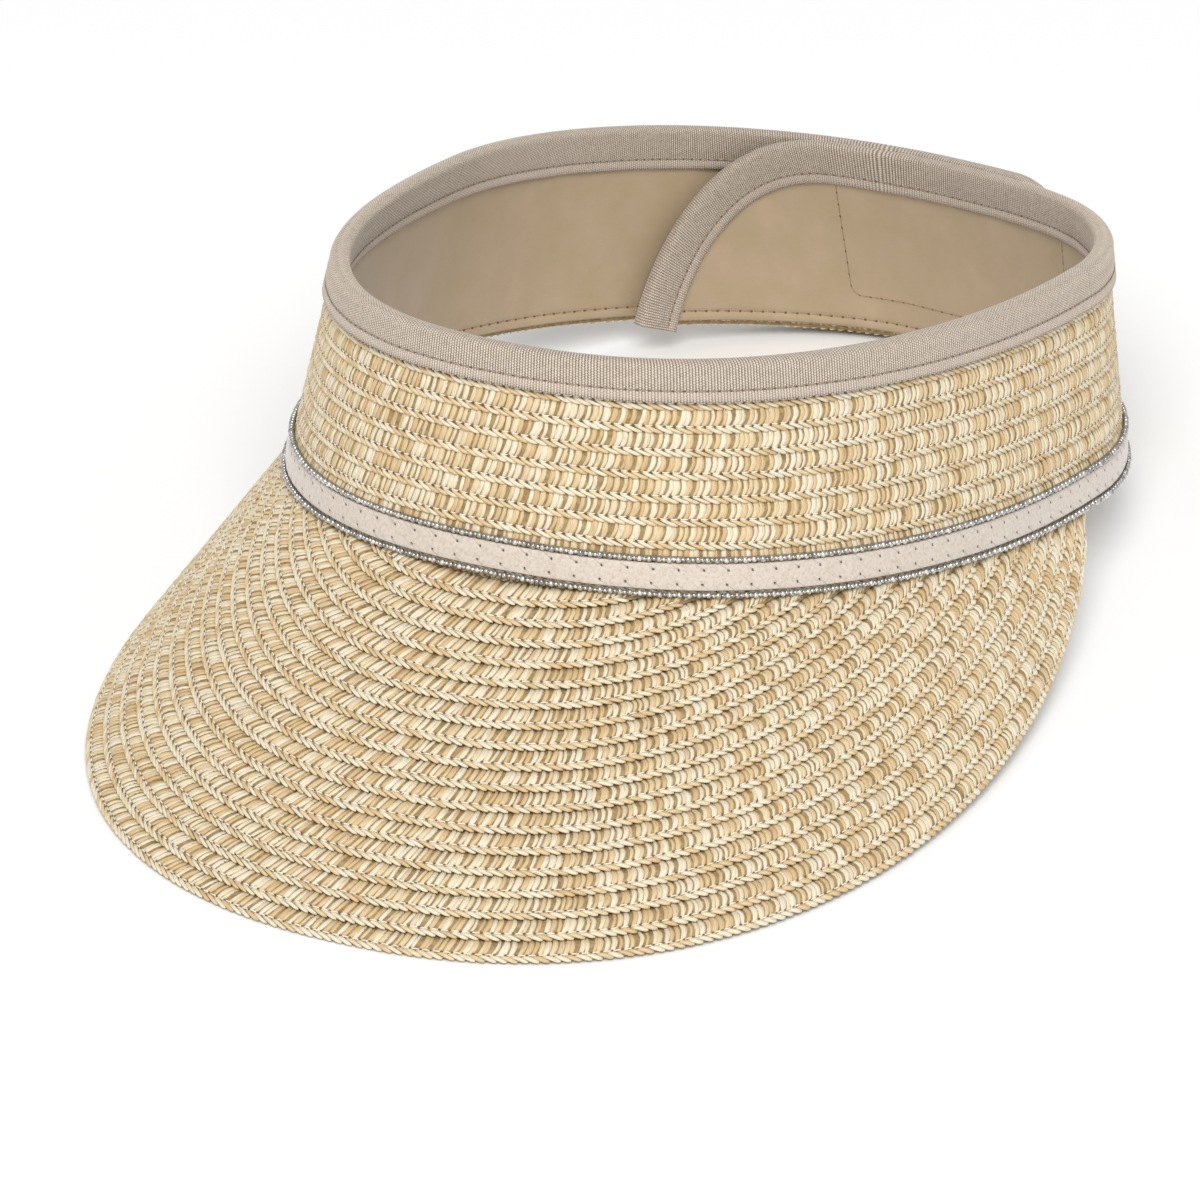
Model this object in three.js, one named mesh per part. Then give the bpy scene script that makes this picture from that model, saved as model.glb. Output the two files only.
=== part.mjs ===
// Sun visor: a brim of sewn straw braid on an open crown band whose two ends overlap behind the head.
// Millimetres, +Z up. The visor lies on a flat surface on its brim's front edge and the back of its band,
// with the brim towards -Y. The origin is on that surface, under the middle of the visor's box.
//
// The band is laid out in its own frame: s runs round its bottom edge from the middle of the front towards
// +X, h runs up its wall, and r is the distance out from the outer face of the straw.
import * as THREE from 'three';

const degrees = THREE.MathUtils.degToRad;

// ---- driving dimensions -------------------------------------------------------------------------------
const BAND_TILT = degrees(11.33);    // the front of the band is raised by this much
const BASE_OVAL = { side: 75.6, front: 121.4, rear: 93.9, frontPower: 2.3, rearPower: 1.8, shift: 0 };
const TOP_OVAL = { side: 66.7, front: 125, rear: 71, frontPower: 2.25, rearPower: 2.1, shift: 1.2 };
const BAND_HEIGHT = 44.4;
const BAND_COURSES = 10;

const GAP = 0.3;                     // clearance between pieces that touch
const STRAW = 1.2;                   // the band's sewn braid
const COURSE_STEP = 0.5;             // how far each course stands out over the one below
const LINING = 0.6;
const LINING_HEM = 1.5;              // the lining ends this far above the straw's bottom edge
const TAPE = 0.6;                    // the binding's ribbed tape
const BINDING_WIDTH = 7.8;

const SUEDE = { low: 1.4, high: 6.4, thickness: 0.5 };
const CHAIN = 1.1;                   // the beads of the two chains
const CHAIN_LOW = 0;                 // the bottom chain's height above the seam of the brim

const BRIM_COURSES = 18;
const BRIM_PITCH = 4.36;             // from one row of braid to the next
const BRIM_OVERLAP = 2.2;            // how far each row runs on under the next one in
const BRIM_BRAID = 1.0;              // thickness of one row
const BRIM_END = degrees(87.6);      // where the brim's edge meets the band, as an angle of its oval
const BRIM_WIDTH = 79.4;             // at the middle of the front
const BRIM_FULLNESS = 1.92;          // how slowly the width falls towards the ends
const BRIM_FAN = 0.33;               // 0 if the brim runs straight forwards, 1 if it leaves the band squarely
const BRIM_SLOPE = { front: 42.8, side: 46, between: -2.2 };
const BRIM_SEAM = 0.45;              // the brim's clearance from the band's bottom edge
const BRAID_TIP = 0.8;               // width left at the cut ends of a row

const HINGE_ANGLE = degrees(128);    // where the band's two flexible ends begin
// Each end's tip is this far past the middle of the back; its corner is a quarter of an oval.
const OUTER_TIP = { side: -1, past: 60, corner: 30, rise: 46 };
const INNER_TIP = { side: 1, past: 63.7, corner: 53, rise: 54.4 };
const INNER_SHIFT = -5;              // the inner end lies this far inside the outer one
const SHIFT_END = 10;                // and does so fully from this far before the middle of the back
const CORNER_FOOT = 9;               // the braid and lining are cut square below this height
const CORNER_END = 1.8;              // the binding ends this high
const HOOK = { from: -54, length: 65, low: 9.5, high: 35.8 };
const LOOP = { from: -20, length: 42, low: 9, high: 32.5 };
const PATCH_THICKNESS = 0.8;

const FRONT_STEPS = 37;              // odd, so that the trim has a flat facet in the middle of the front
const ARM_STEPS = 14;
const CORNER_STEPS = 6;

// ---- materials ----------------------------------------------------------------------------------------
const finish = (color, roughness, metalness = 0) =>
  new THREE.MeshStandardMaterial({ color, roughness, metalness });
const straw = finish(0xe6d7ae, 0.85);
const twill = finish(0xcdb592, 0.7);
const grosgrain = finish(0xbcaa94, 0.8);
const suede = finish(0xe4d8cb, 0.95);
const silver = finish(0xc6c6c8, 0.3, 1);
const hookAndLoop = finish(0xb9a88c, 0.95);

// ---- solids from a section moved along a path ---------------------------------------------------------
// place(point, step) gives the position of a section's point at each step.
function loft(section, steps, place) {
  const positions = [];
  const faces = [];
  const size = section.length;
  for (let step = 0; step <= steps; step++) {
    for (const point of section) positions.push(...place(point, step).toArray());
  }
  const height = (index) => positions[3 * index + 2];
  for (let here = 0; here < steps * size; here++) {
    const next = (here + 1) % size ? here + 1 : here + 1 - size;
    // Layers that lie against each other are folded along the same diagonals, so that they don't cross.
    if (height(next) > height(here)) faces.push(here, next, next + size, here, next + size, here + size);
    else faces.push(here, next, here + size, next, next + size, here + size);
  }
  const outline = section.map(([u, v]) => new THREE.Vector2(u, v));
  for (const [a, b, c] of THREE.ShapeUtils.triangulateShape(outline, [])) {
    const last = steps * size;
    faces.push(c, b, a, last + a, last + b, last + c);
  }
  const geometry = new THREE.BufferGeometry();
  geometry.setAttribute('position', new THREE.Float32BufferAttribute(positions, 3));
  geometry.setIndex(signedVolume(positions, faces) > 0 ? faces : faces.reverse());
  geometry.computeVertexNormals();
  return geometry;
}

function signedVolume(positions, faces) {
  const corner = (index) => new THREE.Vector3().fromArray(positions, 3 * index);
  let volume = 0;
  for (let i = 0; i < faces.length; i += 3) {
    const [a, b, c] = [corner(faces[i]), corner(faces[i + 1]), corner(faces[i + 2])];
    volume += a.dot(b.cross(c)) / 6;
  }
  return volume;
}

// Every section is listed anticlockwise, as the triangulation of the two end faces is.
const rectangle = (low, high, from, to) => [[low, from], [high, from], [high, to], [low, to]];

// ---- the band's wall ----------------------------------------------------------------------------------
// An oval of two half superellipses; angle 0 is the middle of the front.
function onOval(oval, angle) {
  const [sine, cosine] = [Math.sin(angle), Math.cos(angle)];
  const power = 2 / (cosine >= 0 ? oval.frontPower : oval.rearPower);
  const reach = cosine >= 0 ? oval.front : oval.rear;
  const x = Math.sign(sine) * Math.abs(sine) ** power * oval.side;
  const y = oval.shift - Math.sign(cosine) * Math.abs(cosine) ** power * reach;
  return new THREE.Vector2(x, y);
}

const ARC_SAMPLES = 1440;
const arcLengths = [0];
for (let i = 1; i <= ARC_SAMPLES; i++) {
  const [from, to] = [i - 1, i].map((k) => onOval(BASE_OVAL, (Math.PI * k) / ARC_SAMPLES));
  arcLengths.push(arcLengths[i - 1] + from.distanceTo(to));
}
const HALF_ROUND = arcLengths[ARC_SAMPLES];

function lengthAt(angle) {
  return arcLengths[Math.round((angle / Math.PI) * ARC_SAMPLES)];
}

// The oval's angle at the distance s round the bottom edge; past the middle of the back it comes round.
function angleAt(s) {
  const distance = Math.abs(s);
  if (distance > HALF_ROUND) return Math.sign(s) * (2 * Math.PI - angleAt(2 * HALF_ROUND - distance));
  let i = arcLengths.findIndex((length) => length >= distance);
  i = Math.max(i, 1);
  const part = (distance - arcLengths[i - 1]) / (arcLengths[i] - arcLengths[i - 1]);
  return Math.sign(s) * (Math.PI * (i - 1 + part)) / ARC_SAMPLES;
}

function wall(s, h, r) {
  const between = (angle) => onOval(BASE_OVAL, angle).lerp(onOval(TOP_OVAL, angle), h / BAND_HEIGHT);
  const angle = angleAt(s);
  const along = between(angle + 0.01).sub(between(angle - 0.01)).normalize();
  const here = between(angle);
  return new THREE.Vector3(here.x + along.y * r, here.y - along.x * r, h);
}

// ---- the three lengths of band: the front, and the two ends that overlap --------------------------------
const HINGE = lengthAt(HINGE_ANGLE);
const FACE = HINGE - GAP / 2;

function frontLength() {
  const at = (step) => FACE * (2 * step / FRONT_STEPS - 1);
  return {
    steps: FRONT_STEPS,
    edge: (step, inset) => ({ s: at(step), h: BAND_HEIGHT - inset, inward: [0, -1] }),
    shift: () => 0,
    bound: FRONT_STEPS,
  };
}

function innerShift(s) {
  return INNER_SHIFT * THREE.MathUtils.smoothstep(Math.abs(s), HINGE + 4, HALF_ROUND - SHIFT_END);
}

// Past the middle of the back, the outer end stands as far off the inner one as everywhere else.
function outerShift(s) {
  return Math.abs(s) > HALF_ROUND ? innerShift(2 * HALF_ROUND - Math.abs(s)) - INNER_SHIFT : 0;
}

// side is +1 for the end that starts on +X. edge() follows its top edge and then its rounded corner.
function endLength({ side, past, corner, rise }, shift) {
  const start = HINGE + GAP / 2;
  const straight = HALF_ROUND + past - corner - start;
  const turnTo = (h) => Math.acos((h - BAND_HEIGHT + rise) / rise);
  const edge = (step, inset) => {
    if (step <= ARM_STEPS) {
      return { s: side * (start + straight * step / ARM_STEPS), h: BAND_HEIGHT - inset, inward: [0, -1] };
    }
    const part = (step - ARM_STEPS) / CORNER_STEPS;
    const turn = part <= 1 ? turnTo(CORNER_FOOT) * part : turnTo(CORNER_END);
    const inward = new THREE.Vector2(-rise * Math.sin(turn), -corner * Math.cos(turn)).normalize();
    return {
      s: side * (start + straight + (corner - inset) * Math.sin(turn)),
      h: BAND_HEIGHT - rise + (rise - inset) * Math.cos(turn),
      inward: [side * inward.x, inward.y],
    };
  };
  return { steps: ARM_STEPS + CORNER_STEPS, edge, shift, bound: ARM_STEPS + CORNER_STEPS + 1 };
}

// A layer of the wall from a fixed height up to the edge; its section's points are [r, part of height].
function layer(length, section, low, inset) {
  return loft(section, length.steps, ([r, part], step) => {
    const { s, h } = length.edge(step, inset);
    return wall(s, low + part * (h - low), r + length.shift(s));
  });
}

function crownBraid(length) {
  const section = [[-STRAW, 1], [-STRAW, 0]];
  for (let course = 0; course < BAND_COURSES; course++) {
    section.push([0, course / BAND_COURSES], [-COURSE_STEP, (course + 1) / BAND_COURSES]);
  }
  return layer(length, section, 0, TAPE + GAP);
}

const liningOut = -STRAW - GAP;
const liningIn = liningOut - LINING;
const crownLining = (length) =>
  layer(length, rectangle(liningIn, liningOut, 0, 1), LINING_HEM, TAPE + GAP);

// The binding is a channel folded over the edge; its section's points are [r, distance in from the edge].
function binding(length) {
  const [outside, inside] = [GAP, liningIn - GAP];
  const section = [
    [inside - TAPE, BINDING_WIDTH], [inside - TAPE, 0], [outside + TAPE, 0], [outside + TAPE, BINDING_WIDTH],
    [outside, BINDING_WIDTH], [outside, TAPE], [inside, TAPE], [inside, BINDING_WIDTH],
  ];
  return loft(section, length.bound, ([r, inset], step) => {
    const { s, h, inward } = length.edge(step, 0);
    const at = s + inward[0] * inset;
    return wall(at, h + inward[1] * inset, r + length.shift(at));
  });
}

// A strip round the outside of the front length, one step short of each end.
function trimStrip(low, high, thickness) {
  const front = frontLength();
  return loft(rectangle(GAP, GAP + thickness, low, high), FRONT_STEPS - 2, ([r, h], step) =>
    wall(front.edge(step + 1, 0).s, h, r));
}

function patch(length, side, { from, length: long, low, high }, face) {
  const steps = 10;
  return loft(rectangle(face, face + PATCH_THICKNESS, low, high), steps, ([r, h], step) => {
    const s = side * (HALF_ROUND + from + long * step / steps);
    return wall(s, h, r + length.shift(s));
  });
}

// ---- the brim -----------------------------------------------------------------------------------------
// The brim's surface is made of straight rulings from the band's bottom edge to the brim's outer edge.
function ruling(angle) {
  const along = onOval(BASE_OVAL, angle + 0.01).sub(onOval(BASE_OVAL, angle - 0.01));
  const fan = BRIM_FAN * Math.atan2(along.y, along.x);
  const part = (angle / BRIM_END) ** 2;
  const { front, side, between } = BRIM_SLOPE;
  const slope = degrees(front * (1 - part) + side * part + between * 4 * part * (1 - part));
  const seam = onOval(BASE_OVAL, angle);
  const fullness = Math.min(Math.abs(angle / BRIM_END), 1) ** BRIM_FULLNESS;
  return {
    seam: new THREE.Vector3(seam.x, seam.y, 0),
    way: new THREE.Vector3(Math.sin(fan) * Math.cos(slope), -Math.cos(fan) * Math.cos(slope), -Math.sin(slope)),
    width: BRIM_WIDTH * Math.sqrt(1 - fullness),
  };
}

const brimPoint = ({ seam, way }, out) => seam.clone().addScaledVector(way, out);

function brimNormal(angle, out) {
  const [before, after] = [angle - 0.01, angle + 0.01].map((a) => brimPoint(ruling(a), out));
  return after.sub(before).cross(ruling(angle).way).normalize().negate();
}

// How much further a row runs along a ruling than straight across the rows.
function slant(angle) {
  const [before, after] = [angle - 0.004, angle + 0.004].map(ruling).map((r) => brimPoint(r, r.width));
  const cosine = after.sub(before).normalize().dot(ruling(angle).way);
  return 1 / Math.sqrt(Math.max(1 - cosine * cosine, 0.05));
}

// One row of braid: its outer edge rests on the row outside it, and its inner edge lies under the next.
function brimCourse(number) {
  const outer = number * BRIM_PITCH;
  const room = (angle) => ruling(angle).width - BRIM_SEAM - outer * slant(angle);
  let end = BRIM_END;
  while (room(end) < BRAID_TIP) end -= degrees(0.1);
  const steps = 2 * Math.ceil(end * 9) + 6;
  const drop = (BRIM_BRAID + GAP) / BRIM_PITCH;
  return loft(rectangle(0, 1, 0, 1), steps, ([part, top], step) => {
    const angle = end * Math.sin((Math.PI / 2) * (2 * step / steps - 1));
    const line = ruling(angle);
    const across = Math.min((BRIM_PITCH + BRIM_OVERLAP) * slant(angle), room(angle));
    const inset = part * across;
    const out = line.width - outer * slant(angle) - inset;
    const depth = drop * inset / slant(angle) + (1 - top) * BRIM_BRAID;
    return brimPoint(line, out).addScaledVector(brimNormal(angle, out), -depth);
  });
}

// ---- assembly -----------------------------------------------------------------------------------------
const visor = new THREE.Group();
visor.rotation.x = -BAND_TILT;

function add(name, geometry, material) {
  const mesh = new THREE.Mesh(geometry, material);
  mesh.name = name;
  visor.add(mesh);
}

for (let number = 0; number < BRIM_COURSES; number++) {
  add(`brim_course_${String(number + 1).padStart(2, '0')}`, brimCourse(number), straw);
}

const lengths = {
  front: frontLength(),
  left: endLength(OUTER_TIP, outerShift),
  right: endLength(INNER_TIP, innerShift),
};
for (const [name, length] of Object.entries(lengths)) {
  add(`crown_braid_${name}`, crownBraid(length), straw);
  add(`lining_${name}`, crownLining(length), twill);
  add(`binding_${name}`, binding(length), grosgrain);
}

add('trim_suede', trimStrip(SUEDE.low, SUEDE.high, SUEDE.thickness), suede);
add('trim_chain_bottom', trimStrip(CHAIN_LOW, CHAIN_LOW + CHAIN, CHAIN), silver);
add('trim_chain_top', trimStrip(SUEDE.high + GAP, SUEDE.high + GAP + CHAIN, CHAIN), silver);

add('hook_patch', patch(lengths.right, 1, HOOK, GAP), hookAndLoop);
add('loop_patch', patch(lengths.left, -1, LOOP, liningIn - GAP - PATCH_THICKNESS), hookAndLoop);

const model = new THREE.Group();
model.add(visor);
model.updateMatrixWorld(true);
const box = new THREE.Box3().setFromObject(model, true);
model.position.set(-(box.min.x + box.max.x) / 2, -(box.min.y + box.max.y) / 2, -box.min.z);

export default model;
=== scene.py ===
import math

import bpy
import numpy as np
from mathutils import Matrix, Vector

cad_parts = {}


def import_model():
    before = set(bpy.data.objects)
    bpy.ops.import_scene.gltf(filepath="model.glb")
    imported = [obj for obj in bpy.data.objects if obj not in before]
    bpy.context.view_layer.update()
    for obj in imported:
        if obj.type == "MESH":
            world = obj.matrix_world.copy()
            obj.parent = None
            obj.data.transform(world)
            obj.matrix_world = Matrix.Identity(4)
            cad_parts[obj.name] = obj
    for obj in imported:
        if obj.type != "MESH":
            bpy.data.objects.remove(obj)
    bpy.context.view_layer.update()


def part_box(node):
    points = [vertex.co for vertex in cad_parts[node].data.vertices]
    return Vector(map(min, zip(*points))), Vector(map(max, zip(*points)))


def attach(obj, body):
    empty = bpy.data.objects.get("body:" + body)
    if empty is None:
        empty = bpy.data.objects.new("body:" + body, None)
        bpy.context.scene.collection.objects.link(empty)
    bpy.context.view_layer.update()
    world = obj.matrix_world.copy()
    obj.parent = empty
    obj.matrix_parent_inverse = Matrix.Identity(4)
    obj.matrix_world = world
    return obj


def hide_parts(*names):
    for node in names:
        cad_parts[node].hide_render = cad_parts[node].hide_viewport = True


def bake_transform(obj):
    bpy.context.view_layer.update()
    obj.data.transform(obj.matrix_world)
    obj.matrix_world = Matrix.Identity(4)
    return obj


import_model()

# A sewn-straw sun visor.
# Lengths are in millimetres until a mesh or the camera is made, and MM turns them to metres.
# The wall of the band has coordinates s round its bottom edge from the middle of the front towards +X,
# h up the wall, and r out from the outer face of the straw, as the CAD model has.
MM = 0.001

# ---- driving dimensions, as in the CAD model ----
BAND_TILT = math.radians(11.33)
BASE_OVAL = dict(side=75.6, front=121.4, rear=93.9, front_power=2.3, rear_power=1.8, shift=0)
TOP_OVAL = dict(side=66.7, front=125, rear=71, front_power=2.25, rear_power=2.1, shift=1.2)
BAND_HEIGHT = 44.4
BAND_COURSES = 10
TAPE, GAP = 0.6, 0.3
LINING_HEM = 1.5
BINDING_WIDTH = 7.8
SUEDE_LOW, SUEDE_HIGH = 1.4, 6.4
CHAIN, CHAIN_LOW = 1.1, 0
BRIM_COURSES, BRIM_PITCH, BRIM_OVERLAP, BRIM_BRAID = 18, 4.36, 2.2, 1.0
BRIM_END = math.radians(87.6)
BRIM_WIDTH, BRIM_FULLNESS, BRIM_FAN = 79.4, 1.92, 0.33
BRIM_SLOPE = dict(front=42.8, side=46, between=-2.2)
HINGE_ANGLE = math.radians(128)
TIPS = {"left_end": dict(past=60, corner=30, rise=46), "right_end": dict(past=63.7, corner=53, rise=54.4)}
INNER_SHIFT, SHIFT_END = -5, 10
HOOK = dict(start=-54, length=65, low=9.5, high=35.8)
LOOP = dict(start=-20, length=42, low=9, high=32.5)

# ---- the wall of the band ----


def on_oval(oval, angle):
    """Points of an oval made of two half superellipses; angle 0 is the middle of the front."""
    sine, cosine = np.sin(angle), np.cos(angle)
    front = cosine >= 0
    power = 2 / np.where(front, oval["front_power"], oval["rear_power"])
    reach = np.where(front, oval["front"], oval["rear"])
    x = np.sign(sine) * np.abs(sine) ** power * oval["side"]
    y = oval["shift"] - np.sign(cosine) * np.abs(cosine) ** power * reach
    return np.stack([x, y], axis=-1)


def running_length(points):
    """The distance along a line of points, at each of them."""
    return np.concatenate([[0], np.cumsum(np.linalg.norm(np.diff(points, axis=0), axis=1))])


ARC_ANGLES = np.linspace(0, math.pi, 1441)
ARC_LENGTHS = running_length(on_oval(BASE_OVAL, ARC_ANGLES))
HALF_ROUND = ARC_LENGTHS[-1]
HINGE = float(np.interp(HINGE_ANGLE, ARC_ANGLES, ARC_LENGTHS))


def angle_at(s):
    """The oval's angle at the distance s round; past the middle of the back it comes round again."""
    distance = np.abs(s)
    past = distance > HALF_ROUND
    angle = np.interp(np.where(past, 2 * HALF_ROUND - distance, distance), ARC_LENGTHS, ARC_ANGLES)
    return np.sign(s) * np.where(past, 2 * math.pi - angle, angle)


def unit(v):
    return v / np.maximum(np.linalg.norm(v, axis=-1, keepdims=True), 1e-9)


def eased(t):
    """0 to 1 as t is, with a soft start and end."""
    return t * t * (3 - 2 * t)


# The wall's direction is taken over this many radians each way, which rounds its sharpest bends.
TANGENT_REACH = 0.04


def wall_local(s, h, r):
    """Points of the wall in the band's own frame, where Z is the band's axis."""
    s, h, r = np.broadcast_arrays(np.asarray(s, float), h, r)
    angle = angle_at(s)

    def between(a):
        base, top = on_oval(BASE_OVAL, a), on_oval(TOP_OVAL, a)
        return base + (top - base) * (h / BAND_HEIGHT)[..., None]

    along = unit(between(angle + TANGENT_REACH) - between(angle - TANGENT_REACH))
    here = between(angle)
    x = here[..., 0] + along[..., 1] * r
    y = here[..., 1] - along[..., 0] * r
    return np.stack([x, y, h], axis=-1)


def tilted(points):
    """The band's own frame turned to how the visor lies."""
    c, s = math.cos(BAND_TILT), math.sin(BAND_TILT)
    x, y, z = points[..., 0], points[..., 1], points[..., 2]
    return np.stack([x, y * c + z * s, z * c - y * s], axis=-1)


# ---- the surface of the brim ----
SLOPE_STEP = 0.01  # radians each way, for the direction of the seam and of the brim along its rows
SLANT_STEP = 0.004
SLANT_LIMIT = 0.05  # the least square of the sine of the angle between a ruling and a row


def ruling(angle):
    """(point on the seam, direction, width) of the straight line of brim at each angle of the band."""
    along = on_oval(BASE_OVAL, angle + SLOPE_STEP) - on_oval(BASE_OVAL, angle - SLOPE_STEP)
    fan = BRIM_FAN * np.arctan2(along[..., 1], along[..., 0])
    part = (angle / BRIM_END) ** 2
    ends = BRIM_SLOPE["front"] * (1 - part) + BRIM_SLOPE["side"] * part
    slope = np.radians(ends + BRIM_SLOPE["between"] * 4 * part * (1 - part))
    seam = on_oval(BASE_OVAL, angle)
    seam = np.concatenate([seam, np.zeros_like(seam[..., :1])], axis=-1)
    way = np.stack([np.sin(fan) * np.cos(slope), -np.cos(fan) * np.cos(slope), -np.sin(slope)], axis=-1)
    fullness = np.minimum(np.abs(angle / BRIM_END), 1) ** BRIM_FULLNESS
    return seam, way, BRIM_WIDTH * np.sqrt(1 - fullness)


def brim_point(angle, out):
    seam, way, _ = ruling(angle)
    return seam + way * np.asarray(out)[..., None]


def brim_normal(angle, out):
    across = brim_point(angle + SLOPE_STEP, out) - brim_point(angle - SLOPE_STEP, out)
    return -unit(np.cross(across, ruling(angle)[1]))


def slant(angle):
    """How much further a row runs along a ruling than straight across the rows."""
    ends = [brim_point(a, ruling(a)[2]) for a in (angle - SLANT_STEP, angle + SLANT_STEP)]
    cosine = (unit(ends[1] - ends[0]) * ruling(angle)[1]).sum(-1)
    return 1 / np.sqrt(np.maximum(1 - cosine**2, SLANT_LIMIT))


# The brim's front edge touches the surface that the visor lies on, which places both frames.
FRONT = np.zeros(1)
FRONT_WIDTH = ruling(FRONT)[2]
FRONT_EDGE = brim_point(FRONT, FRONT_WIDTH)
FRONT_UNDERSIDE = FRONT_EDGE - BRIM_BRAID * brim_normal(FRONT, FRONT_WIDTH)
EDGE_LOW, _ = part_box("brim_course_01")
OFFSET = np.array([
    0,
    EDGE_LOW[1] / MM - tilted(FRONT_EDGE)[0, 1],
    EDGE_LOW[2] / MM - tilted(FRONT_UNDERSIDE)[0, 2],
])


def world(points):
    return tilted(points) + OFFSET


def wall(s, h, r):
    return world(wall_local(s, h, r))


# ---- meshes ----


def outward(points, faces):
    """The faces, turned round if the closed surface that they make is inside out."""
    middle = points.mean(0)
    volume = 0.0
    for group in faces:
        corners = points[group] - middle
        for k in range(1, group.shape[1] - 1):
            volume += (corners[:, 0] * np.cross(corners[:, k], corners[:, k + 1])).sum()
    return faces if volume > 0 else [group[:, ::-1] for group in faces]


def placed(name, data):
    obj = bpy.data.objects.new(name, data)
    bpy.context.scene.collection.objects.link(obj)
    return obj


def piece(name, parts, materials, nodes, body):
    """An object of closed parts, each of them (points, lists of faces, material's number, grain).

    A half's name as the body leaves it unparented with its transform baked in; "only " before it makes it
    ride the end.
    """
    points, faces, numbers, grains, first = [], [], [], [], 0
    for part_points, part_faces, number, grain in parts:
        flat = part_points.reshape(-1, 3)
        part_faces = outward(flat, part_faces)
        points.append(flat)
        faces += [group + first for group in part_faces]
        numbers += [np.full(len(group), number) for group in part_faces]
        grains.append(np.zeros_like(flat) if grain is None else grain.reshape(-1, 3))
        first += len(flat)
    mesh = bpy.data.meshes.new(name)
    sizes = np.concatenate([np.full(len(group), group.shape[1]) for group in faces])
    loops = np.concatenate([group.ravel() for group in faces]).astype(np.int32)
    mesh.vertices.add(first)
    mesh.vertices.foreach_set("co", (np.concatenate(points) * MM).astype(np.float32).ravel())
    mesh.loops.add(len(loops))
    mesh.loops.foreach_set("vertex_index", loops)
    mesh.polygons.add(len(sizes))
    mesh.polygons.foreach_set("loop_start", np.concatenate([[0], np.cumsum(sizes)[:-1]]).astype(np.int32))
    mesh.polygons.foreach_set("use_smooth", sizes == 4)
    for material in materials:
        mesh.materials.append(material)
    mesh.polygons.foreach_set("material_index", np.concatenate(numbers).astype(np.int32))
    mesh.update(calc_edges=True)
    layer = mesh.attributes.new("grain", "FLOAT_VECTOR", "POINT")
    layer.data.foreach_set("vector", np.concatenate(grains).astype(np.float32).ravel())
    obj = placed(name, mesh)
    if nodes:
        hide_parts(*nodes)
    if body in HALVES:
        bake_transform(obj)
    else:
        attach(obj, body.removeprefix("only "))
    return obj


def tube_faces(count, rings, sides):
    """Quads and end faces of a number of closed tubes, each made of rings with the same number of points."""
    tube = np.arange(count)[:, None, None] * rings * sides
    ring = np.arange(rings - 1)[None, :, None] * sides
    side = np.arange(sides)[None, None, :]
    here = tube + ring + side
    there = tube + ring + (side + 1) % sides
    quads = np.stack([here, there, there + sides, here + sides], axis=-1).reshape(-1, 4)
    start = np.arange(count)[:, None] * rings * sides + np.arange(sides)[None, ::-1]
    end = (np.arange(count)[:, None] * rings + rings - 1) * sides + np.arange(sides)[None, :]
    return [quads, start, end]


def middle_line(grid):
    """The line a third of the way across a strip's grid, along which the strip is measured."""
    return grid[:, grid.shape[1] // 3]


class Strip:
    """A strip of curved surface sampled on a grid; at(u, v, w) is the point u along, v across and w out."""
    END_MARGIN = 0.02

    def __init__(self, points, normals, along, across):
        self.points, self.normals, self.along, self.across = points, normals, along, across
        self.length = along[-1]
        tangent = unit(np.gradient(middle_line(points), axis=0))
        self.shear = ((points[:, -1] - points[:, 0]) * tangent).sum(-1) / (across[-1] - across[0])

    def square(self, u, v):
        """u moved so that points with the same place along lie squarely across the strip."""
        return u - np.interp(u, self.along, self.shear) * v

    def joined(self, start, length):
        """Count u from start on, so that tubes may run past the joined end of the length that is used."""
        self.along = self.along - start
        self.length = length
        return self

    def kept(self, u):
        """u held just inside the strip's two ends."""
        return np.clip(u, self.along[0] + self.END_MARGIN, self.along[-1] - self.END_MARGIN)

    def at(self, u, v, w):
        u, v, w = np.broadcast_arrays(u, v, w)
        i, a = self._cell(self.along, u)
        j, b = self._cell(self.across, v)

        def mixed(grid):
            near = grid[i, j] * (1 - b)[..., None] + grid[i, j + 1] * b[..., None]
            far = grid[i + 1, j] * (1 - b)[..., None] + grid[i + 1, j + 1] * b[..., None]
            return near * (1 - a)[..., None] + far * a[..., None]

        return mixed(self.points) + unit(mixed(self.normals)) * w[..., None]

    @staticmethod
    def _cell(marks, x):
        i = np.clip(np.searchsorted(marks, x) - 1, 0, len(marks) - 2)
        return i, np.clip((x - marks[i]) / (marks[i + 1] - marks[i]), -0.5, 1.5)


# ---- braid ----
# Across a row of braid: the twisted ridge is at its outer or lower edge, the sewing thread lies beside it,
# and plaited strands run from there to under the ridge of the next row.
RIDGE_STEP, RIDGE_LENGTH = 1.9, 3.3
RIDGE_FROM, RIDGE_TO = 1.20, 0.30
THREAD_LINE = 1.5
STITCH = 1.9
STRAND_FROM, STRAND_TO = 1.2, 5.7
STRAND_SPACE = 1.22
STRAND_WIDTH, STRAND_THICKNESS = 0.57, 0.27  # half of each
STRAND_BOW = 0.46
BRIM_LEAN, BAND_LEAN = 0.26, 0.16  # how far a strand leans along the row for each millimetre across
RIDGE_WIDTH, RIDGE_THICKNESS = 0.42, 0.33  # half of each
RIDGE_START, RIDGE_DEPTH, RIDGE_ARCH = 0.1, -0.60, 0.30
THREAD_RISE = 0.26  # the thread's height over the middle of the strands under it
STRAND_GRAIN, RIDGE_GRAIN = 9.7, 5.3  # the grain moves on by this much from a tube to the next
CORE_THICKNESS = 0.12
CORE_SPACE = 2.5  # between the core's rings
ROW_START = -0.4  # a strip starts this far outside its row's edge
# How deep the middle of the strands lies at each distance across a row, on the brim and on the band.
DEPTH_AT = [0.5, 1.2, 2.0, 2.9, 3.8, 4.4, 5.7]
BRIM_DEPTH = [-0.66, -0.62, -0.36, -0.30, -0.62, -1.15, -1.75]
BAND_DEPTH = [-0.66, -0.62, -0.36, -0.30, -0.55, -0.95, -1.15]
SPREAD_LIMIT = 1.6  # random values stay within this many times their spread
rng = np.random.default_rng(7)


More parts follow.
